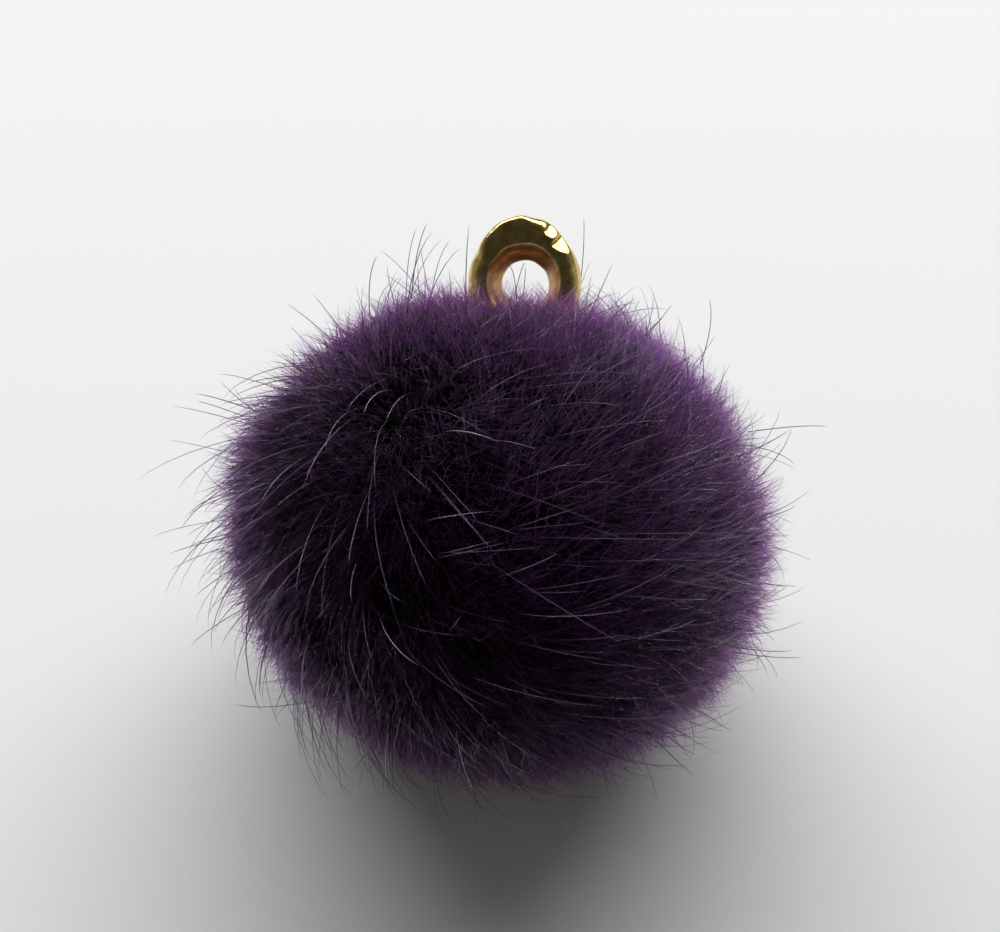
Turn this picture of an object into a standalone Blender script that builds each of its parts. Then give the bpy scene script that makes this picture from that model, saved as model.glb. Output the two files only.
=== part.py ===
"""A pom pom charm: a ball of dense faux fur with a gold-plated hanging loop.

The ball lies on its side on a flat surface, so its loop points back and up. Its fur is an oval
backing with locks of pile that stand apart but for their roots. Each lock leans away from the
fur's parting, which faces up and to the front. Units are metres, +Z is up, the front is -Y, and
the origin is the middle of the small flat spot that the ball rests on.
"""

import math
import random
from collections import namedtuple

import bmesh
import bpy
from mathutils import Matrix, Vector, noise

MM = 0.001
TURN = 2 * math.pi
UP = Vector((0, 0, 1))
DOWN = -UP

# The fur's dense outline: an oval of revolution, drawn in along the loop's axis.
FUR_WIDTH = 20.0 * MM
FUR_DEPTH = 17.5 * MM
CENTRE_HEIGHT = 8.7 * MM
CENTRE = Vector((0, 0, CENTRE_HEIGHT))

# Shares of the dense outline's radius
BACKING = 0.70
TUFT_REACH = (0.97, 1.06)
GUARD_REACH = (1.18, 1.27)

# Directions from the ball's middle: rise above the surface, and turn from the back to the right
LOOP_RISE, LOOP_TURN = math.radians(39.5), math.radians(10.4)
PARTING_RISE, PARTING_TURN = math.radians(62), math.radians(-143)
LOOP_FACE_RISE, LOOP_FACE_TURN = math.radians(50), math.radians(180)

# How the pile lies
NAP_LEAN = 0.38  # swing about the ball's middle, in radians, of a lock as tall as the fur
SPLAY = 0.30  # the same, outwards round the resting spot
SPLAY_RANGE = (0.0, 0.9)  # where it grows, as how far a direction points down
LEAN_LIMIT = 1.6  # the most that a taller lock leans, as a multiple of that
UPRIGHT_RANGE = (math.radians(26), math.radians(80))  # from the loop's axis, where the lean grows
LUMP_SIZE, LUMP_SHARE = 0.55, 0.035  # in radians, and in shares of the radius
HALVINGS = 30  # how finely a lock is shortened to the surface
SEED = 30

# The locks: one on each face of a ball of 320 triangles, but for the two pressed places
BALL_SUBDIVISIONS = 3
FACE_JITTER = 0.035  # in radians
GUARD_LOCKS = 64
MOST_LOCKS = 300
BARE_ROUND_LOOP = math.radians(24)
BARE_ROUND_SPOT = math.radians(21)

# A lock's sections: how far up it they are, and how wide, as a share of its own cell
Section = namedtuple("Section", "up width")
TUFT = (Section(0.00, 0.80), Section(0.38, 0.77), Section(0.76, 0.54))
GUARD = (Section(0.00, 0.80), Section(0.24, 0.72), Section(0.48, 0.34), Section(0.74, 0.16))

# The loop: a cast ring that is thickest at its top, a little to the left of its axis
WIRE = 1.07 * MM
HOLE_RADIUS = 0.85 * MM
LOOP_OUT = 9.02 * MM  # its middle, from the ball's middle
TOP_RISE = 0.52 * MM
TOP_TURN = math.radians(-5)
TOP_SHARPNESS = 4
FLAT_TOP_RISE = 0.47 * MM  # the rise is cast off flat here
LOOP_SEGMENTS, WIRE_SIDES = 48, 12
CLEARANCE = 0.315 * MM  # 0.3 mm between the flat facets

# Pressed pile, as rings out from the ball's middle: gathered in flutes round the loop's foot, and
# flat under the ball. A flute's hollow is given as a share of its ridge's radius.
Ring = namedtuple("Ring", "out radius hollow")
COLLAR = (
    Ring(4.6 * MM, 1.8 * MM, 1.0),
    Ring(6.9 * MM, 2.75 * MM, 0.88),
    Ring(8.1 * MM, 2.95 * MM, 0.86),
    Ring(8.5 * MM, 2.45 * MM, 0.95),
)
SPOT = (
    Ring(6.0 * MM, 2.0 * MM, 1.0),
    Ring(8.3 * MM, 2.1 * MM, 0.9),
    Ring(CENTRE_HEIGHT, 1.8 * MM, 1.0),
)
PRESSED_SIDES = 24


def direction_of(rise, turn):
    """The unit vector at a rise above the surface and a turn from the back towards the right."""
    return Vector((math.sin(turn) * math.cos(rise), math.cos(turn) * math.cos(rise), math.sin(rise)))


LOOP_AXIS = direction_of(LOOP_RISE, LOOP_TURN)
PARTING = direction_of(PARTING_RISE, PARTING_TURN)


def ramp(value, low, high):
    """0 below low, 1 above high, and a smooth step between."""
    share = min(max((value - low) / (high - low), 0.0), 1.0)
    return share * share * (3 - 2 * share)


def lump(direction):
    """The fur's unevenness in a direction, as a factor near 1."""
    return 1 + LUMP_SHARE * noise.noise(direction / LUMP_SIZE)


def fur_radius(direction):
    """The dense outline's distance from the ball's middle."""
    along = direction.dot(LOOP_AXIS)
    across = 1 - along * along
    oval = math.sqrt(across / (FUR_WIDTH / 2) ** 2 + (along / (FUR_DEPTH / 2)) ** 2)
    return lump(direction) / oval


def away_from(pole, direction):
    """The tangent that leads away from a pole: 0 long at the pole, 1 long a quarter turn from it."""
    return direction * direction.dot(pole) - pole


def swing(direction):
    """Which way and how far the pile leans there, as a step across the unit ball."""
    upright = ramp(direction.angle(LOOP_AXIS), *UPRIGHT_RANGE)
    near_floor = ramp(direction.dot(DOWN), *SPLAY_RANGE)
    nap = NAP_LEAN * upright * away_from(PARTING, direction)
    return nap + SPLAY * near_floor * away_from(DOWN, direction)


def pile_point(direction, share):
    """Where pile rooted in a direction has got to at a share of the fur's radius.

    It is one flow for the whole ball, so locks with roots apart stay apart up to their tips.
    """
    rise = max((share - BACKING) / (1 - BACKING), 0.0)
    lean = LEAN_LIMIT * math.tanh(rise / LEAN_LIMIT)
    leaning = (direction + lean * swing(direction)).normalized()
    return CENTRE + leaning * fur_radius(leaning) * share


def reach_above_floor(direction, reach):
    """A lock's reach, shortened so that its tip comes down level with the surface."""
    if pile_point(direction, reach).z >= 0:
        return reach
    low, high = BACKING, reach
    for _ in range(HALVINGS):
        middle = (low + high) / 2
        if pile_point(direction, middle).z < 0:
            high = middle
        else:
            low = middle
    return low


def grow_lock(shape, face, sections, reach):
    """Grows one three-sided lock out of a face of the backing, up to a pointed tip."""
    roots = [(vertex.co - CENTRE).normalized() for vertex in face.verts]
    middle = sum(roots, Vector()).normalized()
    reach = reach_above_floor(middle, reach)
    for section in sections:
        face = bmesh.ops.extrude_discrete_faces(shape, faces=[face])["faces"][0]
        share = BACKING + section.up * (reach - BACKING)
        for vertex, root in zip(face.verts, roots):
            vertex.co = pile_point(middle.lerp(root, section.width).normalized(), share)
    tip = bmesh.ops.poke(shape, faces=[face])["verts"][0]
    tip.co = pile_point(middle, reach)
    tip.co.z = max(tip.co.z, 0.0)


def fur_mesh():
    """The backing with its locks."""
    chance = random.Random(SEED)
    shape = bmesh.new()
    bmesh.ops.create_icosphere(shape, subdivisions=BALL_SUBDIVISIONS, radius=1)
    for vertex in shape.verts:
        shift = Vector([chance.uniform(-FACE_JITTER, FACE_JITTER) for _ in range(3)])
        vertex.co = pile_point((vertex.co + shift).normalized(), BACKING)
    furred = []
    for face in shape.faces:
        direction = face.calc_center_median() - CENTRE
        clear_of_loop = direction.angle(LOOP_AXIS) > BARE_ROUND_LOOP
        if clear_of_loop and direction.angle(DOWN) > BARE_ROUND_SPOT:
            furred.append(face)
    furred = furred[:MOST_LOCKS]
    long_ones = set(chance.sample(range(len(furred)), GUARD_LOCKS))
    for index, face in enumerate(furred):
        if index in long_ones:
            grow_lock(shape, face, GUARD, chance.uniform(*GUARD_REACH))
        else:
            grow_lock(shape, face, TUFT, chance.uniform(*TUFT_REACH))
    mesh = bpy.data.meshes.new("fur_ball")
    shape.to_mesh(mesh)
    shape.free()
    print(f"{len(furred)} locks, {GUARD_LOCKS} of them long")
    return mesh


def pressed_mesh(name, rings):
    """Pile pressed together along +Z, from its lowest ring to its highest, with flat ends."""
    shape = bmesh.new()
    loops = []
    for ring in rings:
        loop = []
        for side in range(PRESSED_SIDES):
            angle = TURN * side / PRESSED_SIDES
            radius = ring.radius * (ring.hollow if side % 2 else 1.0)
            loop.append(shape.verts.new((radius * math.cos(angle), radius * math.sin(angle), ring.out)))
        loops.append(loop)
    for lower, upper in zip(loops, loops[1:]):
        for side in range(PRESSED_SIDES):
            after = (side + 1) % PRESSED_SIDES
            shape.faces.new((lower[side], lower[after], upper[after], upper[side]))
    shape.faces.new(loops[0][::-1])
    shape.faces.new(loops[-1])
    mesh = bpy.data.meshes.new(name)
    shape.to_mesh(mesh)
    shape.free()
    return mesh


def loop_mesh(name, spare):
    """The loop round the local Y axis, with its flat top at +Z, grown all over by a spare width."""
    shape = bmesh.new()
    hole = HOLE_RADIUS - spare
    plain = HOLE_RADIUS + WIRE + spare
    rings = []
    for segment in range(LOOP_SEGMENTS):
        angle = TURN * segment / LOOP_SEGMENTS
        towards_top = max(math.cos(angle - TOP_TURN), 0.0)
        outer = plain + TOP_RISE * towards_top**TOP_SHARPNESS
        if towards_top > 0:
            outer = min(outer, (plain + FLAT_TOP_RISE) / towards_top)
        middle, half = (outer + hole) / 2, (outer - hole) / 2
        ring = []
        for side in range(WIRE_SIDES):
            around = TURN * side / WIRE_SIDES
            out = middle + half * math.cos(around)
            depth = (WIRE / 2 + spare) * math.sin(around)
            ring.append(shape.verts.new((out * math.sin(angle), depth, out * math.cos(angle))))
        rings.append(ring)
    for index, ring in enumerate(rings):
        following = rings[(index + 1) % LOOP_SEGMENTS]
        for side in range(WIRE_SIDES):
            after = (side + 1) % WIRE_SIDES
            shape.faces.new((ring[side], following[side], following[after], ring[after]))
    bmesh.ops.recalc_face_normals(shape, faces=shape.faces)
    mesh = bpy.data.meshes.new(name)
    shape.to_mesh(mesh)
    shape.free()
    return mesh


def material(name, colour, roughness, metallic=0.0, sheen=0.0):
    """A Principled material of one colour."""
    made = bpy.data.materials.new(name)
    made.use_nodes = True
    shader = made.node_tree.nodes["Principled BSDF"]
    shader.inputs["Base Color"].default_value = (*colour, 1)
    shader.inputs["Roughness"].default_value = roughness
    shader.inputs["Metallic"].default_value = metallic
    shader.inputs["Sheen Weight"].default_value = sheen
    made.diffuse_color = (*colour, 1)
    return made


def place(name, mesh, parent=None, axis=UP, facing=None):
    """Puts a mesh in the scene, its +Z along an axis and its -Y towards where it faces."""
    made = bpy.data.objects.new(name, mesh)
    bpy.context.scene.collection.objects.link(made)
    made.parent = parent
    if facing:
        depth = (axis * facing.dot(axis) - facing).normalized()
        made.matrix_local = Matrix((depth.cross(axis), depth, axis)).transposed().to_4x4()
    else:
        made.matrix_local = UP.rotation_difference(axis).to_matrix().to_4x4()
    return made


def cut_or_join(fur, tool, operation):
    """Adds a helper to the fur ball, or takes it away, and hides the helper."""
    tool.hide_render = True
    tool.display_type = "WIRE"
    step = fur.modifiers.new(f"{operation.lower()} {tool.name}", "BOOLEAN")
    step.operation = operation
    step.object = tool


def build_loop(ball):
    """The hanging loop, and the guide that clears its seat in the fur."""
    facing = direction_of(LOOP_FACE_RISE, LOOP_FACE_TURN)
    loop = place("hanging_loop", loop_mesh("hanging_loop", 0.0), ball, LOOP_AXIS, facing)
    seat = place("loop_seat_guide", loop_mesh("loop_seat_guide", CLEARANCE), ball, LOOP_AXIS, facing)
    for piece in (loop, seat):
        piece.location = LOOP_AXIS * LOOP_OUT
    loop.data.shade_smooth()
    loop.data.materials.append(material("gold_plate", (0.72, 0.46, 0.16), 0.22, metallic=1.0))
    return seat


def build_fur(ball, seat):
    """The fur ball, with its pile pressed round the loop's foot and flat under the ball."""
    fur = place("fur_ball", fur_mesh())
    collar = place("collar_guide", pressed_mesh("collar_guide", COLLAR), ball, LOOP_AXIS)
    spot = place("spot_guide", pressed_mesh("spot_guide", SPOT), ball, DOWN)
    cut_or_join(fur, collar, "UNION")
    cut_or_join(fur, spot, "UNION")
    cut_or_join(fur, seat, "DIFFERENCE")
    fur.data.materials.append(material("faux_fur", (0.035, 0.012, 0.042), 0.75, sheen=0.5))


def build():
    for old in list(bpy.data.objects):
        bpy.data.objects.remove(old, do_unlink=True)
    ball = bpy.data.objects.new("ball_middle", None)
    ball.location = CENTRE
    bpy.context.scene.collection.objects.link(ball)
    seat = build_loop(ball)
    build_fur(ball, seat)


build()
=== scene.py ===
# %% [markdown]
# # A faux fur pom pom charm
# A pom pom charm is a round of faux fur, gathered into a ball with its pile outwards, with a small
# gold-plated loop in the gathered pole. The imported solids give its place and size. This script
# dresses them: a dark skin, some 130 thousand fine hairs, long guard hairs and a smooth loop.

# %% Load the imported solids
import math

import bmesh
import bpy
import numpy as np
from mathutils import Matrix, Vector, kdtree, noise


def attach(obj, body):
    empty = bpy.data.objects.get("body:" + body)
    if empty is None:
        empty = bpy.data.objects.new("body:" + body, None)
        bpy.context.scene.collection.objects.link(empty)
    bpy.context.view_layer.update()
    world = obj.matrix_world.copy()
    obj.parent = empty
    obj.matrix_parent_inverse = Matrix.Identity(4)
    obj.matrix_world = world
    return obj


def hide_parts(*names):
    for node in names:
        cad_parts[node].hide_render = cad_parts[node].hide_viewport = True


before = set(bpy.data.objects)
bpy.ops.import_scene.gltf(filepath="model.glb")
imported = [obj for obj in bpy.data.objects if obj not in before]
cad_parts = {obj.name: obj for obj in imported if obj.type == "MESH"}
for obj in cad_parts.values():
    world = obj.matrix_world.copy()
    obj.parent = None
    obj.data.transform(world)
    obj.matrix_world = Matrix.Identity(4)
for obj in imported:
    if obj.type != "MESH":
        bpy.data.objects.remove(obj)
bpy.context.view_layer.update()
print("solids:", sorted(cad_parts))

# %% [markdown]
# ## Sizes and directions
# Everything below is in millimetres, and turns to metres where a mesh is made. The ball's sizes and
# the loop's axis repeat those of the solids, so the fur lies on them: an oval drawn in along that
# axis. The parting is where the pile of the unseen back leans apart.

# %% Sizes and directions
MM = 0.001
TURN = 2 * math.pi
SEED = 30
# Without its own seed, Blender's vector noise follows the clock
noise.seed_set(SEED)


def direction_of(rise, turn):
    """The unit vector at a rise above the floor and a turn from the back to the right: degrees."""
    rise, turn = math.radians(rise), math.radians(turn)
    level = math.cos(rise)
    return np.array([math.sin(turn) * level, math.cos(turn) * level, math.sin(rise)])


FUR_WIDTH, FUR_DEPTH = 20.0, 17.5
CENTRE = np.array([0.0, 0.0, 8.7])
LOOP_AXIS = direction_of(39.5, 10.4)
PARTING = direction_of(62, -118)
TO_CAMERA = direction_of(50, 180)
DOWN = np.array([0.0, 0.0, -1.0])
print("loop axis", LOOP_AXIS.round(3), "parting", PARTING.round(3))

# %% [markdown]
# ## Camera
# The photo looks down on the ball at about 50 degrees, from close by. A lens of 85 mm a hand's
# width away gives the same slight nearness. The image is 1000 pixels wide and shows 36 mm.

# %% Camera
LENS, SENSOR, DISTANCE = 85.0, 36.0, 85.0
AIM_RIGHT, AIM_UP = 0.29, 2.38
NEAREST, FARTHEST = 1.0, 10000.0

camera_right = np.array([1.0, 0.0, 0.0])
camera_up = np.cross(TO_CAMERA, camera_right)
camera_axes = np.stack([camera_right, camera_up, TO_CAMERA])
aim = CENTRE + AIM_RIGHT * camera_right + AIM_UP * camera_up
camera = bpy.data.objects.new("camera", bpy.data.cameras.new("camera"))
camera.data.lens, camera.data.sensor_width = LENS, SENSOR
camera.data.clip_start, camera.data.clip_end = NEAREST * MM, FARTHEST * MM
turned = Matrix((camera_right, camera_up, TO_CAMERA)).transposed().to_4x4()
camera.matrix_world = Matrix.Translation(Vector(aim + DISTANCE * TO_CAMERA) * MM) @ turned
bpy.context.scene.collection.objects.link(camera)
bpy.context.scene.camera = camera
print("camera at", [round(c / MM, 1) for c in camera.location], "mm")

# %% [markdown]
# ## Material helpers
# Colours are written as sRGB hex values, as a paint program shows them, and Blender wants them
# linear. One small function adds any node with its settings, values and links.

# %% Material helpers
def linear(hex_colour):
    """An sRGB hex colour as linear red, green, blue and alpha."""
    parts = [int(hex_colour[i : i + 2], 16) / 255 for i in (1, 3, 5)]
    return (*[c / 12.92 if c <= 0.04045 else ((c + 0.055) / 1.055) ** 2.4 for c in parts], 1.0)


def new_material(name, colour, **values):
    """A Principled material and its shader, with values on the shader's own sockets."""
    made = bpy.data.materials.new(name)
    made.use_nodes = True
    made.diffuse_color = linear(colour)
    shader = made.node_tree.nodes["Principled BSDF"]
    shader.inputs["Base Color"].default_value = linear(colour)
    for socket, value in values.items():
        shader.inputs[socket.replace("_", " ")].default_value = value
    return made, shader


def add(made, kind, values=None, links=None, **settings):
    """Adds one node: its settings, the values of its free sockets, and the links into it."""
    tree = made.node_tree
    node = tree.nodes.new(kind)
    for name, value in settings.items():
        setattr(node, name, value)
    for socket, value in (values or {}).items():
        node.inputs[socket].default_value = value
    for socket, source in (links or {}).items():
        tree.links.new(source, node.inputs[socket])
    return node


def ramp_stops(node, stops):
    """Sets a colour ramp's stops from (position, hex colour) pairs."""
    elements = node.color_ramp.elements
    for index, (position, colour) in enumerate(stops):
        element = elements[index] if index < 2 else elements.new(position)
        element.position, element.color = position, linear(colour)
    return node


print("sRGB mid grey in linear light:", round(linear("#808080")[0], 3))

# %% [markdown]
# ## Dyed acrylic fur
# The short dense pile is crimped acrylic fibre, dyed dark aubergine and sheared. Its roots are lost
# in shadow and its thin tips let the light through, so the colour runs from near black at the root
# to
# plum at the tip: the dark root half is painted shade. Each hair's map has its tone across and its
# length upwards, and the colour reads only that, so it stays the same when the fur is exported.
# Acrylic's own IOR is 1.49, but at that value so dense a pile glittered more than the real one, so
# each fibre has a lower one.

# %% Underfur, wisp and guard hair materials
# The export bakes a piece through its own map if the map has this name
FUR_MAP = "OFBake"


def fur_material(name, cool, warm, **values):
    """A fibre's material: two colour ramps along the hair, dark at the root as painted shade, mixed
    by its own tone.
    """
    made, shader = new_material(name, cool[-1][1], **values)
    place = add(made, "ShaderNodeUVMap", uv_map=FUR_MAP)
    parts = add(made, "ShaderNodeSeparateXYZ", links={"Vector": place.outputs[0]})
    tone, along = parts.outputs[0], parts.outputs[1]
    ramps = []
    for stops in (cool, warm):
        ramps.append(ramp_stops(add(made, "ShaderNodeValToRGB", links={"Fac": along}), stops))
    # Sockets 0, 6 and 7 of a Mix node are its factor and its two colours, and 2 is the mixed colour
    sources = {0: tone, 6: ramps[0].outputs[0], 7: ramps[1].outputs[0]}
    mixed = add(made, "ShaderNodeMix", links=sources, data_type="RGBA")
    made.node_tree.links.new(mixed.outputs[2], shader.inputs["Base Color"])
    return made


# Matt roots painted dark as shade and dim plum tips: the eye sees depth, and a violet haze only
# towards the light
underfur_look = fur_material(
    "dyed acrylic underfur, crimped and sheared",
    [(0.0, "#070b0a"), (0.5, "#1d2327"), (1.0, "#6c4084")],
    [(0.0, "#0a0d0a"), (0.5, "#2a2c26"), (1.0, "#8a4a82")],
    Roughness=0.6,
    IOR=1.2,
    Transmission_Weight=0.88,
)
# Roots painted dark as shade. Split tips pass nearly all the light, which gives the rim its bright
# violet edge
wisp_look = fur_material(
    "dyed acrylic fibre tips, split fine by shearing",
    [(0.0, "#0c100e"), (0.4, "#3a2450"), (1.0, "#b25ee4")],
    [(0.0, "#0e100c"), (0.4, "#4c2a46"), (1.0, "#d466cc")],
    Roughness=0.5,
    IOR=1.13,
    Transmission_Weight=0.92,
)
# Stiffer and smoother fibre: grey-violet lines that catch the light along their length, roots
# painted dark as shade
guard_look = fur_material(
    "dyed acrylic guard hair, drawn and glossy",
    [(0.0, "#1a1422"), (0.4, "#5f507e"), (1.0, "#9c88be")],
    [(0.0, "#1e1420"), (0.4, "#70597e"), (1.0, "#ac96b8")],
    Roughness=0.45,
    IOR=1.2,
    Transmission_Weight=0.75,
)
print("materials:", underfur_look.name, "|", wisp_look.name, "|", guard_look.name)

# %% [markdown]
# ## The ball's outline
# A handmade ball is never a true sphere. This one is an oval, a few hundredths lumpy, and one
# function gives its radius in any direction, so that skin, pile and guard hairs agree. Its noise
# and its oval are those of the solids.

# %% The ball's outline
# How wide a lump is on the unit ball, and how high, in shares of the radius
LUMP_SIZE, LUMP_SHARE = 0.55, 0.035


def unit(vectors):
    """The same directions with a length of 1."""
    return vectors / np.linalg.norm(vectors, axis=-1, keepdims=True)


def smooth_step(values, low, high):
    """From 0 at low to 1 at high, with soft ends."""
    share = np.clip((values - low) / (high - low), 0, 1)
    return share * share * (3 - 2 * share)


def lump(directions):
    """The fur's unevenness in each direction, as a factor near 1."""
    spots = (directions.reshape(-1, 3) / LUMP_SIZE).tolist()
    heights = np.array([noise.noise(spot) for spot in spots])
    return 1 + LUMP_SHARE * heights.reshape(directions.shape[:-1])


def fur_radius(directions):
    """The dense outline's distance from the ball's middle."""
    along = directions @ LOOP_AXIS
    oval = np.sqrt((1 - along**2) / (FUR_WIDTH / 2) ** 2 + (along / (FUR_DEPTH / 2)) ** 2)
    return lump(directions) / oval


outline = fur_radius(np.stack([TO_CAMERA, DOWN]))
print("radius to the camera and to the floor, mm:", outline.round(2))

# %% [markdown]
# ## How the pile lies
# Real pile is combed by its maker's hands and by its packing, so neighbours lean alike. A flow
# over the whole ball gives this: away from the parting at the back, upright round the loop, and
# outwards where the ball rests. On the side that shows, a short table of comb strokes bends it:
# down and left on one side of a cleft, and in a long sweep to the right on the other.

# %% Comb strokes
# How far a stroke reaches on the unit ball, and the weight of the pile's own way beside it
STROKE_WIDTH, UNCOMBED = 0.20, 0.01
# Right and up on the ball as the camera sees it, in shares of its radius, and the heading of the
# stroke in degrees, anticlockwise from the right
COMB_STROKES = np.array(
    [
        (-0.60, 0.50, -150),
        (-0.50, 0.25, -158),
        (-0.75, 0.00, -138),
        (-0.60, -0.10, -125),
        (-0.80, -0.45, -90),
        (-0.55, -0.65, -85),
        (-0.45, -0.90, -68),
        (-0.40, 0.55, -85),
        (-0.45, 0.30, -60),
        (-0.50, 0.05, -50),
        (-0.45, -0.25, -50),
        (-0.35, -0.55, -55),
        (-0.25, 0.35, -20),
        (-0.15, 0.05, -5),
        (-0.25, -0.15, 25),
        (-0.20, -0.30, 35),
        (-0.10, -0.70, 5),
        (0.10, -0.35, 12),
        (0.30, -0.65, 5),
        (0.60, -0.35, 12),
        (0.40, -0.10, 5),
        (0.75, 0.20, 46),
        (0.60, 0.40, 55),
        (0.25, 0.40, 55),
        (0.20, 0.05, 5),
        (0.70, 0.65, 75),
        (-0.05, 0.45, 15),
        (0.15, 0.80, 58),
        (0.50, 0.85, 90),
        (-0.20, 0.80, 35),
        (-0.30, 0.90, 80),
    ]
)
stroke_right, stroke_up = COMB_STROKES[:, 0], COMB_STROKES[:, 1]
stroke_headings = np.radians(COMB_STROKES[:, 2])[:, None]
stroke_near = np.sqrt(np.maximum(1 - stroke_right**2 - stroke_up**2, 0))
stroke_places = np.stack([stroke_right, stroke_up, stroke_near], axis=1) @ camera_axes
stroke_ways = np.cos(stroke_headings) * camera_right + np.sin(stroke_headings) * camera_up


def away_from(pole, directions):
    """The way along the ball that leads off from a pole."""
    return directions * (directions @ pole)[..., None] - pole


def combed(directions):
    """The way that the comb drew the pile: the near strokes' mean, or away from the parting."""
    apart = ((directions[:, None] - stroke_places) ** 2).sum(axis=2)
    shares = np.exp(-apart / STROKE_WIDTH**2)
    ways = shares @ stroke_ways
    ways -= directions * (directions * ways).sum(axis=1, keepdims=True)
    # In the parting itself the pile stands up, or bare skin would show between the two slopes
    from_parting = 1 - (directions @ PARTING)[..., None] ** 2
    ways += UNCOMBED * from_parting * away_from(PARTING, directions)
    return ways / (shares.sum(axis=1, keepdims=True) + UNCOMBED)


print("comb strokes:", len(COMB_STROKES))

# %% [markdown]
# ## From roots to hairs
# Each hair starts at a root on the ball and swings over as it rises, the way that the flow says.
# Small eddies keep it from looking drawn with a ruler. Close to the loop the pile stands up, and
# what would go through the floor is laid down on it with a soft bend.

# %% The flow of the pile
# Hairs lean from the solids' backing outwards: how far over where they are as tall as the pile, and
# at most how many times that
BACKING, NAP_LEAN, LEAN_LIMIT = 0.70, 0.38, 1.6
# From the loop's axis: where the pile begins to lean, and where it leans in full
UPRIGHT_RANGE = (math.radians(14), math.radians(50))
# Outwards round the resting spot, and where that grows, as how far a direction points down
SPLAY, SPLAY_RANGE = 0.30, (0.0, 0.9)
# How wide an eddy is on the unit ball, and how far it turns the hairs
EDDY_SIZE, EDDY = 0.14, 0.28
FLOOR_SOFTNESS = 0.12


def swing(directions, lean=NAP_LEAN):
    """Which way and how far the pile leans, as a step across the unit ball."""
    from_loop = np.arccos(np.clip(directions @ LOOP_AXIS, -1, 1))
    upright = smooth_step(from_loop, *UPRIGHT_RANGE)[..., None]
    near_floor = smooth_step(directions @ DOWN, *SPLAY_RANGE)[..., None]
    eddies = np.array([noise.noise_vector(spot) for spot in (directions / EDDY_SIZE).tolist()])
    splay = SPLAY * near_floor * away_from(DOWN, directions)
    return lean * upright * combed(directions) + splay + EDDY * eddies


def above_floor(points, least):
    """Lays what would go through the floor down on it, with a soft bend."""
    z = points[..., 2] - least
    points[..., 2] = least + (z + np.sqrt(z * z + 4 * FLOOR_SOFTNESS**2)) / 2
    return points


def on_ball(leaning, shares):
    """Points in the given directions, at the given shares of the fur's radius."""
    return CENTRE + leaning * (fur_radius(leaning) * shares)[..., None]


def pile_points(roots, swings, shares):
    """Where each hair of the pile is at each share of the fur's radius: hair, point, xyz."""
    rise = np.maximum((shares - BACKING) / (1 - BACKING), 0)
    lean = LEAN_LIMIT * np.tanh(rise / LEAN_LIMIT)
    return on_ball(unit(roots + lean[..., None] * swings[:, None]), shares)


def scattered(count, chance, jitter=0.6):
    """Directions spread evenly over the ball, each moved by a share of its cell's width."""
    index = np.arange(count)
    height = 1 - (2 * index + 1) / count
    across = np.sqrt(1 - height**2)
    # Each turns on from the last by the golden angle, so that they never line up
    turn = index * math.pi * (3 - math.sqrt(5))
    even = np.stack([across * np.cos(turn), across * np.sin(turn), -height], axis=1)
    cell = math.sqrt(4 * math.pi / count)
    return unit(even + chance.uniform(-jitter, jitter, (count, 3)) * cell)


front_lean = np.linalg.norm(swing(TO_CAMERA[None]))
print("in front the pile leans by", front_lean.round(2), "of the ball's radius")

# %% [markdown]
# ## Making hairs as meshes
# Blender's own hair would be lost in an export, so each hair is a closed needle of three sides,
# drawn to a point. All hairs of one kind become one mesh straight from arrays, which takes a
# moment even for a hundred thousand of them.

# %% A needle's corners and faces
SIDES = 3
# A straight hair has no bend of its own, so a little of a sideways direction stands in for it
SIDEWAYS_RISE, SPARE_BEND = 0.3, 0.05
# A bake leaves a face black that has no width on its map, so the foot's face has a little
FOOT_MAP = 0.01


def cross_sections(points, radii, rolls):
    """The corners round each hair's points but its tip: hair, point, side, xyz."""
    along = unit(np.gradient(points, axis=1))
    rise = SIDEWAYS_RISE * np.ones_like(rolls)
    sideways = unit(np.stack([np.cos(rolls), np.sin(rolls), rise], 1))
    spare = np.cross(along[:, 0], sideways)
    bend = unit(np.cross(along[:, 0], along[:, -1]) + SPARE_BEND * unit(spare))[:, None]
    out = unit(np.cross(bend, along))
    around = (rolls[:, None] + TURN * np.arange(SIDES) / SIDES)[:, None, :, None]
    corners = np.cos(around) * bend[:, :, None] + np.sin(around) * out[:, :, None]
    return (points[:, :, None] + radii[:, :, None, None] * corners)[:, :-1]


def needle_faces(count):
    """A needle's corners and face sizes, and each corner's place on its map, for count points."""
    tip = (count - 1) * SIDES
    ups = np.linspace(0, 1, count)
    faces, sizes, map_u, map_v = [], [], [], []
    for level in range(count - 1):
        low, high = level * SIDES, (level + 1) * SIDES
        for side in range(SIDES):
            after = (side + 1) % SIDES
            if high < tip:
                faces += [low + side, low + after, high + after, high + side]
                sizes.append(4)
                map_u += [side, side + 1, side + 1, side]
                map_v += [ups[level], ups[level], ups[level + 1], ups[level + 1]]
            else:
                faces += [low + side, low + after, tip]
                sizes.append(3)
                map_u += [side, side + 1, side + 0.5]
                map_v += [ups[level], ups[level], 1.0]
    # One more triangle closes the foot
    faces += [2, 1, 0]
    sizes.append(3)
    map_u += [0, 1, 0.5]
    map_v += [0.0, 0.0, FOOT_MAP]
    return faces, sizes, map_u, map_v


for count in (2, 3):
    sizes = needle_faces(count)[1]
    print(f"a needle of {count} points has {sum(sizes) - 2 * len(sizes)} triangles")

# %% [markdown]
# ### One mesh from many needles
# Blender takes whole arrays of points and faces at once. A face is a run of corners, so the mesh
# needs where each face starts. A hair has one tone, but its map is a little wide, because a face
# with no width on its map is baked black.

# %% Hairs from arrays
TONE_SPREAD = 0.004


def ride(piece, slot, *nodes):
    """Puts a piece in the scene, on the ball's body, and hides the solids that it stands for. The
    slot is not used.
    """
    bpy.context.scene.collection.objects.link(piece)
    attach(piece, "root")
    if nodes:
        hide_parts(*nodes)
    return piece


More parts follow.
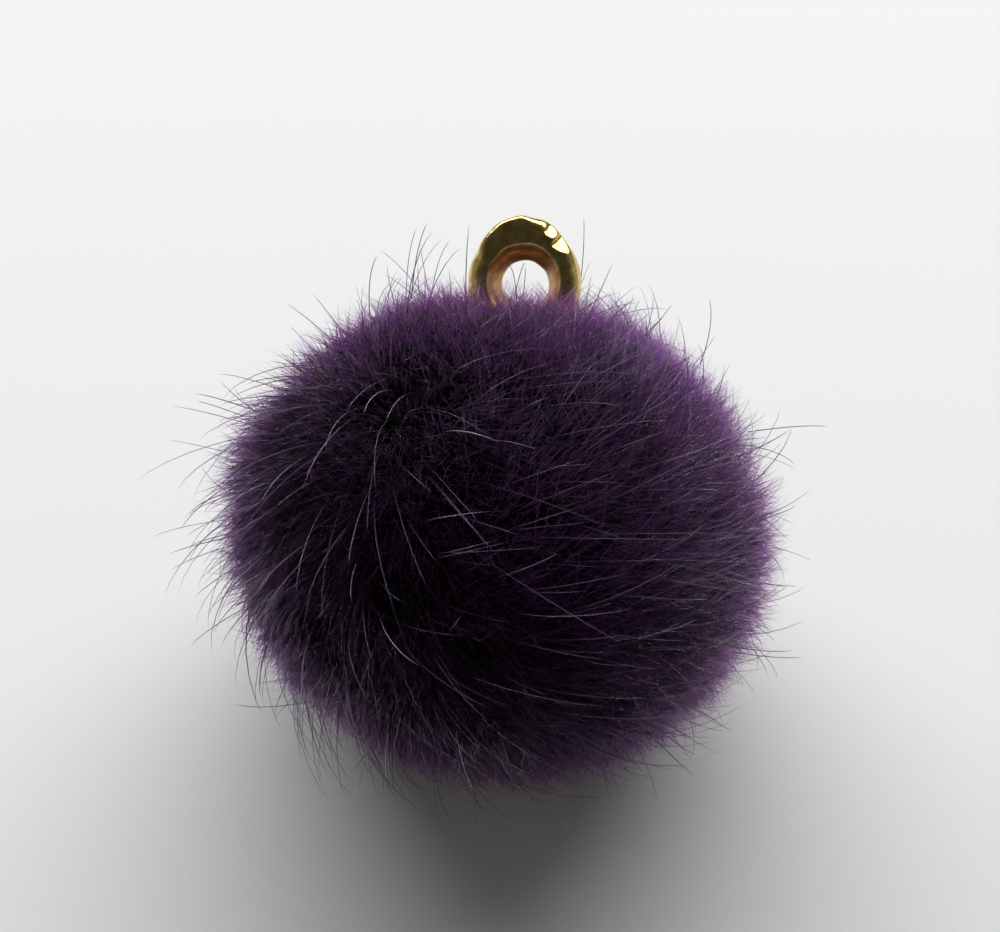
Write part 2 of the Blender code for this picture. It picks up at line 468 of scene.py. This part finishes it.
def hair_mesh(name, points, radii, tones, chance):
    """One mesh of closed needles, with each hair's tone and length as its map."""
    hairs, count = points.shape[:2]
    rolls = chance.uniform(0, TURN, hairs)
    rings = cross_sections(points, radii, rolls).reshape(hairs, -1, 3)
    verts = np.concatenate([rings, points[:, -1:]], axis=1)
    faces, sizes, map_u, map_v = needle_faces(count)
    corners = np.array(faces)[None] + (np.arange(hairs) * verts.shape[1])[:, None]
    sizes = np.tile(sizes, hairs)
    mesh = bpy.data.meshes.new(name)
    mesh.vertices.add(hairs * verts.shape[1])
    mesh.vertices.foreach_set("co", (verts * MM).astype(np.float32).ravel())
    mesh.loops.add(corners.size)
    mesh.loops.foreach_set("vertex_index", corners.astype(np.int32).ravel())
    mesh.polygons.add(len(sizes))
    mesh.polygons.foreach_set("loop_start", (np.cumsum(sizes) - sizes).astype(np.int32))
    mesh.update(calc_edges=True)
    mesh.shade_smooth()
    tone_map = mesh.uv_layers.new(name=FUR_MAP)
    u = tones[:, None] * (1 - 4 * TONE_SPREAD) + np.array(map_u)[None] * TONE_SPREAD
    v = np.broadcast_to(np.array(map_v)[None], u.shape)
    tone_map.data.foreach_set("uv", np.stack([u, v], axis=-1).astype(np.float32).ravel())
    print(f"{name}: {hairs} hairs, {int((sizes - 2).sum())} triangles")
    return mesh


# %% [markdown]
# ## The skin
# Under the pile is the knitted ground cloth, with fibre stubs so dense that it looks like dark
# felt. It only shows as depth between the hairs, so a lumpy ball under their roots does, which
# follows the same outline and is flattened on the floor. Its near-black colour is the dye darkened
# as painted shade, for the depth between the hairs.

# %% Skin
SKIN_SHARE, SKIN_SUBDIVISIONS, SKIN_OFF_FLOOR = 0.80, 6, 0.05
STUB = 0.15  # a fibre stub's width, which one fleck stands for


def skin_material():
    """Matt and nearly black as painted shade, with faint plum flecks: the eye finds depth there, and
    no surface.
    """
    made, shader = new_material(
        "dyed knitted ground cloth, deep in the pile", "#0d070f", Roughness=0.9, IOR=1.15
    )
    place = add(made, "ShaderNodeTexCoord")
    flecks = add(
        made,
        "ShaderNodeTexNoise",
        {"Scale": 1 / (STUB * MM), "Detail": 2.0},
        {"Vector": place.outputs["Object"]},
    )
    tones = add(made, "ShaderNodeValToRGB", links={"Fac": flecks.outputs["Fac"]})
    ramp_stops(tones, [(0.35, "#080409"), (0.7, "#1d1122")])
    made.node_tree.links.new(tones.outputs[0], shader.inputs["Base Color"])
    return made


def skin_mesh():
    """An even ball of triangles, moved out to the skin's share of the fur's radius."""
    shape = bmesh.new()
    bmesh.ops.create_icosphere(shape, subdivisions=SKIN_SUBDIVISIONS, radius=1)
    mesh = bpy.data.meshes.new("fur_skin")
    shape.to_mesh(mesh)
    shape.free()
    directions = np.empty(len(mesh.vertices) * 3)
    mesh.vertices.foreach_get("co", directions)
    points = above_floor(on_ball(unit(directions.reshape(-1, 3)), SKIN_SHARE), SKIN_OFF_FLOOR)
    mesh.vertices.foreach_set("co", (points * MM).astype(np.float32).ravel())
    mesh.shade_smooth()
    mesh.materials.append(skin_material())
    return mesh


skin = ride(bpy.data.objects.new("fur_skin", skin_mesh()), "faux_fur", "fur_ball")
print("skin:", len(skin.data.polygons), "faces")

# %% [markdown]
# ## The loop's room
# The loop stands in the fur, so hair shouldn't grow through its wire. Each hair of the pile and each
# guard hair is measured against an oval section round the ring, and left out if it enters it. The
# ring is the solid's own, turned a little to the side as in the photo, and a touch stouter.

# %% The loop's own directions, and the distance from it
# The wire's width, the hole's radius, and how far the ring's middle is from the ball's
WIRE, HOLE_RADIUS, LOOP_OUT = 1.07, 0.85, 9.02
# How much thicker the top is, on which side of the axis, and how sharply it grows
TOP_RISE, TOP_TURN, TOP_SHARPNESS = 0.41, math.radians(-9), 4
FLAT_TOP_RISE, FLAT_TOP_TURN = 0.33, math.radians(6)
LOOP_FACE = direction_of(50, 189)
# How much stouter than the solid's ring this one is, and how far to its left
STOUTER, LOOP_LEFT = 0.13, 0.08
# How near a hair may come, and at how many places from one of its points to the next it is tested
WIRE_SPARE, CLEAR_STEPS = 0.03, 6
TINY = 1e-6

loop_depth = unit(LOOP_AXIS * (LOOP_FACE @ LOOP_AXIS) - LOOP_FACE)
loop_side = np.cross(loop_depth, LOOP_AXIS)
loop_centre = CENTRE + LOOP_AXIS * LOOP_OUT - LOOP_LEFT * camera_right


def loop_outer(turn):
    """The ring's outer radius at a turn from its top: thickest near the top, and cast off flat."""
    plain = HOLE_RADIUS + WIRE + STOUTER
    thick = plain + TOP_RISE * np.maximum(np.cos(turn - TOP_TURN), 0) ** TOP_SHARPNESS
    cut = (plain + FLAT_TOP_RISE) / np.maximum(np.cos(turn - FLAT_TOP_TURN), TINY)
    return np.minimum(thick, cut)


def in_wire(points, spare):
    """Whether each point is inside the loop's wire, grown by a spare width."""
    local = (points - loop_centre) @ np.stack([loop_side, loop_depth, LOOP_AXIS], axis=1)
    out = np.hypot(local[..., 0], local[..., 2])
    turn = np.arctan2(local[..., 0], local[..., 2])
    outer = loop_outer(turn) + spare
    hole = HOLE_RADIUS - STOUTER - spare
    middle, half = (outer + hole) / 2, (outer - hole) / 2
    return ((out - middle) / half) ** 2 + (local[..., 1] / (WIRE / 2 + spare)) ** 2 < 1


def clear_of_loop(points, spare=WIRE_SPARE):
    """Which hairs keep clear of the wire all along."""
    shares = np.linspace(0, 1, CLEAR_STEPS)[:, None, None, None]
    between = points[None, :, :-1] * (1 - shares) + points[None, :, 1:] * shares
    return ~in_wire(between, spare).any(axis=(0, 2))


print("ring radius at its top, mm:", round(float(loop_outer(0.0)), 2))

# %% [markdown]
# ## Clumps and locks
# Fine hairs gather in small clumps, and clumps in locks, as fur does when it is handled. Every
# clump has its own lean, reach and tone, and is drawn towards its lock's middle. A seeded chance
# makes them, so each run gives the same fur.

# %% Clumps and locks
# Their numbers, and how much their swing and reach vary
CLUMPS, CLUMP_SWING, CLUMP_REACH = 5200, 0.22, 0.036
LOCKS, LOCK_PULL, LOCK_REACH = 420, 0.32, 0.014
chance = np.random.default_rng(SEED)


def nearest(middles, directions):
    """The number of the middle that is nearest to each direction."""
    tree = kdtree.KDTree(len(middles))
    for number, middle in enumerate(middles.tolist()):
        tree.insert(middle, number)
    tree.balance()
    return np.array([tree.find(direction)[1] for direction in directions.tolist()])


clump_middles = scattered(CLUMPS, chance)
clump_swings = chance.normal(0, CLUMP_SWING, (CLUMPS, 3))
clump_reach = chance.normal(0, CLUMP_REACH, CLUMPS)
clump_tones = chance.uniform(0, 1, CLUMPS)
lock_middles = scattered(LOCKS, chance)
lock_reach = chance.normal(0, LOCK_REACH, LOCKS)
locks = nearest(lock_middles, clump_middles)
clump_tops = clump_middles + LOCK_PULL * (lock_middles[locks] - clump_middles)
clump_reach += lock_reach[locks]
print("clumps:", CLUMPS, "in", len(np.unique(locks)), "locks")

# %% [markdown]
# ## Underfur
# Every hair is drawn towards its clump's middle as it rises. Short pile fills the depth, and finer
# wisps split from the clumps' tips, so the outline fades instead of ending in a line. The pile was
# trimmed a little longer on the right, and unevenly here and there.

# %% Underfur
# A real fibre is about 0.02 mm thick. Each hair of the underfur and the short pile stands for a few
# that cling together, so it is about 0.08 mm thick at its root
UNDERFUR_HAIRS, UNDERFUR_PIECES, UNDERFUR_RADIUS = 48000, 3, 0.036
FILL_HAIRS, FILL_PIECES, FILL_RADIUS = 26000, 1, 0.0432
WISP_HAIRS, WISP_PIECES, WISP_RADIUS = 56000, 2, 0.019
PILE_FOOT, WISP_FOOT = 0.80, 0.88
# The mean reach in shares of the fur's radius and its spread, and how far the tips are drawn in
UNDERFUR_REACH, UNDERFUR_CLUMPING = (0.965, 0.03), 0.7
FILL_REACH, FILL_CLUMPING = (0.92, 0.02), 0.4
WISP_REACH, WISP_CLUMPING = (1.01, 0.03), 0.92
HAIR_SWING, REACH_LIMITS, CLUMPING_POWER = 0.09, (0.86, 1.10), 1.3
# How much of a hair's tone is its clump's, and the mean and spread of its own
CLUMP_TONE, HAIR_TONE = 0.6, (0.2, 0.12)
# Where along the hair, and the share of its radius there
PILE_TAPER = ((0, 0.5, 1), (1, 0.62, 0))
THICKNESS = (0.75, 1.3)
# How much longer the pile was left on the right, and how much shorter all over
RIGHT_SHIFT, TRIM = 0.036, 0.015
# Where the shears left the outline fuller or shorter: right and up on the ball as the camera sees
# it, how much in shares of its radius, and how narrow the place is
UNEVEN_TRIM = (
    (-0.74, 0.67, 0.045, 40),
    (0.60, 0.80, -0.038, 14),
    (-0.97, -0.24, -0.020, 14),
    (0.92, -0.40, -0.020, 24),
)


def trimmed(roots):
    """How much longer the pile was left at each root, in shares of the fur's radius."""
    longer = RIGHT_SHIFT * (roots @ camera_right) - TRIM
    for right, up, reach_here, narrow in UNEVEN_TRIM:
        near = np.maximum(roots @ (right * camera_right + up * camera_up), 0)
        longer += reach_here * near**narrow
    return longer


def underfur(count, levels, foot, reach, radius, clumping):
    """Clumped hairs: their points, radii and tones."""
    roots = scattered(count, chance)
    clumps = nearest(clump_middles, roots)
    swings = swing(roots) + clump_swings[clumps] + chance.normal(0, HAIR_SWING, (count, 3))
    tops = chance.normal(*reach, count) + clump_reach[clumps] + trimmed(roots)
    tops = np.clip(tops, *REACH_LIMITS)
    shares = foot + levels[None] * (tops[:, None] - foot)
    pull = clumping * levels[None, :, None] ** CLUMPING_POWER
    drawn = roots[:, None] + pull * (clump_tops[clumps] - roots)[:, None]
    points = above_floor(pile_points(drawn, swings, shares), radius)
    taper = np.interp(levels, *PILE_TAPER)
    radii = radius * chance.uniform(*THICKNESS, count)[:, None] * taper
    tones = np.clip(CLUMP_TONE * clump_tones[clumps] + chance.normal(*HAIR_TONE, count), 0, 1)
    kept = clear_of_loop(points)
    return points[kept], radii[kept], tones[kept]


def add_fur(name, pieces, look, points, radii, tones):
    """Puts the hairs in the scene as several meshes, each a zone of the ball."""
    for piece, hairs in enumerate(np.array_split(np.arange(len(points)), pieces)):
        label = f"{name}_{piece + 1}"
        mesh = hair_mesh(label, points[hairs], radii[hairs], tones[hairs], chance)
        mesh.materials.append(look)
        ride(bpy.data.objects.new(label, mesh), "faux_fur")


bent, straight = np.array([0.0, 0.5, 1.0]), np.array([0.0, 1.0])
hairs = underfur(
    UNDERFUR_HAIRS, bent, PILE_FOOT, UNDERFUR_REACH, UNDERFUR_RADIUS, UNDERFUR_CLUMPING
)
add_fur("underfur", UNDERFUR_PIECES, underfur_look, *hairs)
hairs = underfur(FILL_HAIRS, straight, PILE_FOOT, FILL_REACH, FILL_RADIUS, FILL_CLUMPING)
add_fur("short_pile", FILL_PIECES, underfur_look, *hairs)
hairs = underfur(WISP_HAIRS, straight, WISP_FOOT, WISP_REACH, WISP_RADIUS, WISP_CLUMPING)
add_fur("wisps", WISP_PIECES, wisp_look, *hairs)

# %% [markdown]
# ## Guard hairs
# Mink and its imitations have long, glossy guard hairs standing sparse above the underfur. They
# are stiffer and glossier, curve over and lie almost flat, so light runs along them in thin lines.
# None may lie across the loop's top, where the photo shows it bare.

# %% Guard hairs
GUARD_HAIRS, GUARD_RADIUS, GUARD_THICKNESS = 1250, 0.020, (0.7, 1.2)
GUARD_JITTER, GUARD_LEAN, GUARD_SWING = 1.2, 0.60, 0.15
GUARD_FOOT, GUARD_REACH, GUARD_REACH_LIMITS = 0.84, (1.09, 0.075), (0.97, 1.27)
# How fast a hair gets its height, and how much of its lean it ends with
GUARD_RISE_POWER, GUARD_CURVE = 1.3, (0.4, 1.1)
GUARD_TAPER = ((0, 0.5, 0.85, 1), (0.8, 1, 0.6, 0))
# How near the wire a hair may come, and how low on the ring it may cross it
GUARD_SPARE, OVER_LOOP_LOW = 0.25, -0.35
GUARD_POINTS = 8
along_hair = np.linspace(0, 1, GUARD_POINTS)


def over_loop(points):
    """Which hairs lie across the ring's top as the camera sees it."""
    across, up = (points - loop_centre) @ camera_right, (points - loop_centre) @ camera_up
    return ((np.hypot(across, up) < HOLE_RADIUS + WIRE) & (up > OVER_LOOP_LOW)).any(axis=1)


def guard_hairs(count, levels):
    """Long hairs: they rise steeply, then curve over to lie along the fur."""
    roots = scattered(count, chance, GUARD_JITTER)
    swings = swing(roots, GUARD_LEAN) + chance.normal(0, GUARD_SWING, (count, 3))
    tops = np.clip(chance.normal(*GUARD_REACH, count), *GUARD_REACH_LIMITS)
    rise = 1 - (1 - levels[None]) ** GUARD_RISE_POWER
    shares = GUARD_FOOT + rise * (tops[:, None] - GUARD_FOOT)
    lean = chance.uniform(*GUARD_CURVE, count)[:, None] * levels[None]
    points = on_ball(unit(roots[:, None] + lean[..., None] * swings[:, None]), shares)
    points = above_floor(points, GUARD_RADIUS)
    taper = np.interp(levels, *GUARD_TAPER)
    radii = GUARD_RADIUS * chance.uniform(*GUARD_THICKNESS, count)[:, None] * taper
    tones = chance.uniform(0, 1, count)
    kept = clear_of_loop(points, GUARD_SPARE) & ~over_loop(points)
    return points[kept], radii[kept], tones[kept]


add_fur("guard_hairs", 1, guard_look, *guard_hairs(GUARD_HAIRS, along_hair))

# %% [markdown]
# ### Stray hairs
# A few guard hairs stand out where handling has pulled them: some beside the loop and in its hole,
# one across the top, and some at the rim. They are few, so each is given in a short table.

# %% Stray hairs
STRAY_FOOT, STRAY_TIP, STRAY_BEND = 0.90, 1.05, 0.03
STRAY_TAPER = ((0, 0.85, 1), (1, 0.8, 0))
COOLEST, WARMEST = 0.2, 0.8
# The root's right and up and the tip's right and up, in shares of the ball's radius as the camera
# sees it
STRAY_HAIRS = np.array(
    [
        (0.31, 0.82, 0.33, 1.14),
        (-0.29, 0.84, -0.23, 1.12),
        (-0.31, 0.82, -0.27, 1.10),
        (-0.22, 0.84, -0.15, 1.05),
        (-0.44, 0.78, -0.41, 1.00),
        (0.17, 0.43, 0.43, 0.43),
        (0.08, 0.84, 0.12, 0.97),
        (0.09, 0.84, 0.06, 0.96),
        (0.11, 0.83, 0.12, 0.95),
        (0.75, 0.60, 0.78, 0.85),
        (0.92, 0.36, 1.21, 0.38),
        (-0.90, 0.42, -1.06, 0.47),
        (-0.60, -0.60, -0.93, -0.62),
        (-0.36, -0.74, -0.39, -0.94),
        (0.80, -0.42, 1.12, -0.45),
    ]
)


def stray_hairs(levels):
    """The hairs of the table, each a shallow arc from inside the fur to its tip in the open."""
    ends = STRAY_HAIRS.reshape(-1, 2, 2)
    seen = ends / (1, FUR_DEPTH / FUR_WIDTH)
    reach = np.array([STRAY_FOOT, STRAY_TIP])
    near = np.sqrt(np.maximum(reach**2 - (seen**2).sum(axis=2), 0))
    ends = np.concatenate([ends, near[..., None]], axis=2) @ camera_axes
    foot, tip = ends[:, :1], ends[:, 1:]
    arc = 4 * (levels * (1 - levels))[None, :, None] * STRAY_BEND * unit(foot + tip)
    points = CENTRE + FUR_WIDTH / 2 * (foot + levels[None, :, None] * (tip - foot) + arc)
    radii = np.tile(GUARD_RADIUS * np.interp(levels, *STRAY_TAPER), (len(points), 1))
    return points, radii, np.linspace(COOLEST, WARMEST, len(points))


add_fur("stray_hairs", 1, guard_look, *stray_hairs(along_hair))

# %% [markdown]
# ## Plating
# The loop is cast in a soft alloy, tumbled and gold-plated. Tumbling rounds the edges and leaves
# soft dents, so noise moves both its tone and its surface. The warm copper tone in the bore is
# painted: a painted reflection of the lit fur.

# %% Plating
DENT_SIZE, DENT_DEPTH = 0.3, 0.03


def plated_material(name, dark, light, **values):
    """Plated metal whose tone and surface vary a little from dent to dent."""
    made, shader = new_material(name, light, **values)
    place = add(made, "ShaderNodeTexCoord")
    dents = add(
        made,
        "ShaderNodeTexNoise",
        {"Scale": 1 / (DENT_SIZE * MM), "Detail": 2.0},
        {"Vector": place.outputs["Object"]},
    )
    tones = add(made, "ShaderNodeValToRGB", links={"Fac": dents.outputs["Fac"]})
    ramp_stops(tones, [(0.3, dark), (0.7, light)])
    made.node_tree.links.new(tones.outputs[0], shader.inputs["Base Color"])
    bump = add(
        made,
        "ShaderNodeBump",
        {"Strength": 0.5, "Distance": DENT_DEPTH * MM},
        {"Height": dents.outputs["Fac"]},
    )
    made.node_tree.links.new(bump.outputs[0], shader.inputs["Normal"])
    return made


# Polished gold mirrors the window in thin bright lines and turns olive where it mirrors the room
gold_look = plated_material(
    "cast alloy, tumbled and gold-plated", "#c4a04f", "#e8d08a", Metallic=1.0, Roughness=0.16
)
# The bore is rougher, and its warm copper tone is a painted reflection of the lit fur, as a soft
# band
bore_reflection_look = plated_material(
    "gold plating with a painted copper reflection in the bore",
    "#cc9450",
    "#f0c288",
    Metallic=0.6,
    Roughness=0.35,
)
print("materials:", gold_look.name, "|", bore_reflection_look.name)

# %% [markdown]
# ## The loop
# The loop is thickest at its top, where the casting was cut off flat, and its right shoulder has
# two filed facets. It follows the solid's own ring of oval sections, only finer: a touch stouter,
# squarer on the left shoulder, and with a bore that slopes to the front.

# %% Loop
LOOP_SEGMENTS, WIRE_SIDES = 192, 64
CAST_SIZE, CAST_DEPTH = 0.50, 0.035
# The bore is boxy and more open than the solid's, and its front is wider than its back. Its painted
# copper reflection is where the cosine of the turn about the wire, from its outer side, is below a
# limit
BORE_SLOPE, BORE_OPEN, BORE_BOXY, BORE_LIMIT = 0.25, 0.24, 3.2, -0.45
# How square the left shoulder is, and where that comes and goes round the ring, from its top
BOXY = 3.0
BOXY_START = (math.radians(-12), math.radians(12))
BOXY_END = (math.radians(-72), math.radians(-48))
# Where a facet begins and ends round the ring, from its top, and how high over the ring's middle
FACETS = ((math.radians(13), math.radians(27), 1.615), (math.radians(27), math.radians(52), 1.465))
FACET_NORMAL, FACET_EDGE = direction_of(74, 100), math.radians(3)


def rounded(values, power):
    """Sines or cosines of a round section, made squarer by a power below 1."""
    return np.sign(values) * np.abs(values) ** power


def faceted(points, from_top):
    """Takes two flat cuts off the ring's right shoulder, where the casting's gate was filed."""
    for start, end, height in FACETS:
        part = smooth_step(from_top, start, start + FACET_EDGE)
        part *= smooth_step(-from_top, -end, FACET_EDGE - end)
        over = np.maximum((points - loop_centre) @ FACET_NORMAL - height, 0) * part[:, None]
        points = points - over[..., None] * FACET_NORMAL
    return points


def loop_points(turns, around):
    """The ring's points by turn from its top and by turn about its wire, with its cast dents."""
    from_top = (turns + math.pi) % TURN - math.pi
    sine, cosine = np.sin(turns)[:, None], np.cos(turns)[:, None]
    outer = loop_outer(from_top)
    hole = HOLE_RADIUS - STOUTER + BORE_OPEN
    middle, half = (outer + hole) / 2, (outer - hole) / 2
    boxy = BOXY * smooth_step(-from_top, *BOXY_START) * smooth_step(from_top, *BOXY_END)
    power = 2 / np.where(np.cos(around) < 0, BORE_BOXY, 2 + boxy[:, None])
    across, deep = rounded(np.cos(around), power), rounded(np.sin(around), power)
    out = middle[:, None] + half[:, None] * across - BORE_SLOPE * np.maximum(-across, 0) * deep
    local = np.stack([out * sine, WIRE / 2 * deep, out * cosine], axis=-1)
    dents = np.array([noise.noise(spot) for spot in (local.reshape(-1, 3) / CAST_SIZE).tolist()])
    shift = CAST_DEPTH * dents.reshape(out.shape)
    local[..., 0] += shift * np.cos(around) * sine
    local[..., 1] += shift * np.sin(around)
    local[..., 2] += shift * np.cos(around) * cosine
    points = loop_centre + local @ np.stack([loop_side, loop_depth, LOOP_AXIS])
    return faceted(points, from_top)


def loop_mesh():
    """The ring as a closed mesh of four-sided faces, with the bore's faces in a painted copper
    reflection.
    """
    turns = TURN * np.arange(LOOP_SEGMENTS) / LOOP_SEGMENTS
    around = TURN * (np.arange(WIRE_SIDES) + 0.5) / WIRE_SIDES
    points = loop_points(turns, around)
    ring = np.arange(LOOP_SEGMENTS)[:, None] * WIRE_SIDES
    side = np.arange(WIRE_SIDES)[None]
    next_ring = (ring + WIRE_SIDES) % (LOOP_SEGMENTS * WIRE_SIDES)
    next_side = (side + 1) % WIRE_SIDES
    corners = [ring + side, ring + next_side, next_ring + next_side, next_ring + side]
    faces = np.stack(corners, axis=-1)
    mesh = bpy.data.meshes.new("gold_loop")
    mesh.from_pydata((points * MM).reshape(-1, 3).tolist(), [], faces.reshape(-1, 4).tolist())
    mesh.update()
    mesh.shade_smooth()
    for look in (gold_look, bore_reflection_look):
        mesh.materials.append(look)
    # The bore's faces take the painted copper reflection of the lit fur
    in_bore = np.cos(around + math.pi / WIRE_SIDES) < BORE_LIMIT
    in_bore = np.broadcast_to(in_bore, faces.shape[:2])
    mesh.polygons.foreach_set("material_index", in_bore.astype(np.int32).ravel())
    return mesh


loop = ride(bpy.data.objects.new("gold_loop", loop_mesh()), "gold_plate", "hanging_loop")
print("loop:", len(loop.data.polygons), "faces")

# %% [markdown]
# ## Floor
# The photo has a pale painted board. Its paint is matt, so it takes a soft shadow and mirrors
# nothing, and one plain square is enough. It isn't part of the charm.

# %% Floor
FLOOR_REACH = 600.0

floor_mesh = bpy.data.meshes.new("floor")
reach = FLOOR_REACH * MM
corners = [(-reach, -reach, 0), (reach, -reach, 0), (reach, reach, 0), (-reach, reach, 0)]
floor_mesh.from_pydata(corners, [], [(0, 1, 2, 3)])
floor_look = new_material("pale painted board", "#e6e7e6", Roughness=0.7)[0]
floor_mesh.materials.append(floor_look)
floor = bpy.data.objects.new("floor", floor_mesh)
bpy.context.scene.collection.objects.link(floor)
print("floor:", 2 * FLOOR_REACH, "mm wide")

# %% [markdown]
# ## Light
# In the photo a wide soft window is high behind the ball, and one wide area light gives the same. A
# dim warm card stands for the room behind the camera, and a dim sky, brighter at the left and the
# right, for its walls, so the front of the ball stays dark.

# %% Window and room
def area_light(name, place, width, height, power, colour="#ffffff"):
    """A panel of light that faces the ball, its place and size in millimetres."""
    light = bpy.data.objects.new(name, bpy.data.lights.new(name, "AREA"))
    light.data.shape, light.data.energy = "RECTANGLE", power
    light.data.color = linear(colour)[:3]
    light.data.size, light.data.size_y = width * MM, height * MM
    light.location = Vector(place) * MM
    to_ball = Vector(CENTRE) * MM - light.location
    light.rotation_euler = to_ball.to_track_quat("-Z", "Y").to_euler()
    bpy.context.scene.collection.objects.link(light)
    print(f"{name}: {width} x {height} mm, {power} W")


area_light("window light", place=(8, 330, 385), width=1000, height=300, power=4.9)
area_light(
    "lit room behind the camera",
    place=(0, -450, 130),
    width=900,
    height=250,
    power=0.25,
    colour="#ffefcf",
)

# %% [markdown]
# ### The room's walls
# The sky's strength grows with a power of how far a direction points to the left or the right. So
# the rims of the ball and the sides of the loop catch a little more light than its front.

# %% Walls
ROOM_DARK, WALL_BRIGHT, WALL_NARROW = 0.055, 0.42, 5.0

world = bpy.data.worlds.new("soft room")
world.use_nodes = True
room = world.node_tree.nodes["Background"]
room.inputs["Color"].default_value = linear("#f2f4f6")
way = add(world, "ShaderNodeTexCoord")
sides = add(world, "ShaderNodeSeparateXYZ", links={"Vector": way.outputs["Generated"]})
aside = add(world, "ShaderNodeMath", links={0: sides.outputs["X"]}, operation="ABSOLUTE")
wall = add(world, "ShaderNodeMath", {1: WALL_NARROW}, {0: aside.outputs[0]}, operation="POWER")
lit = add(
    world,
    "ShaderNodeMath",
    {1: WALL_BRIGHT, 2: ROOM_DARK},
    {0: wall.outputs[0]},
    operation="MULTIPLY_ADD",
)
world.node_tree.links.new(lit.outputs[0], room.inputs["Strength"])
bpy.context.scene.world = world
bpy.context.scene.view_settings.view_transform = "Standard"
print("sky strength from", ROOM_DARK, "to", round(ROOM_DARK + WALL_BRIGHT, 3))
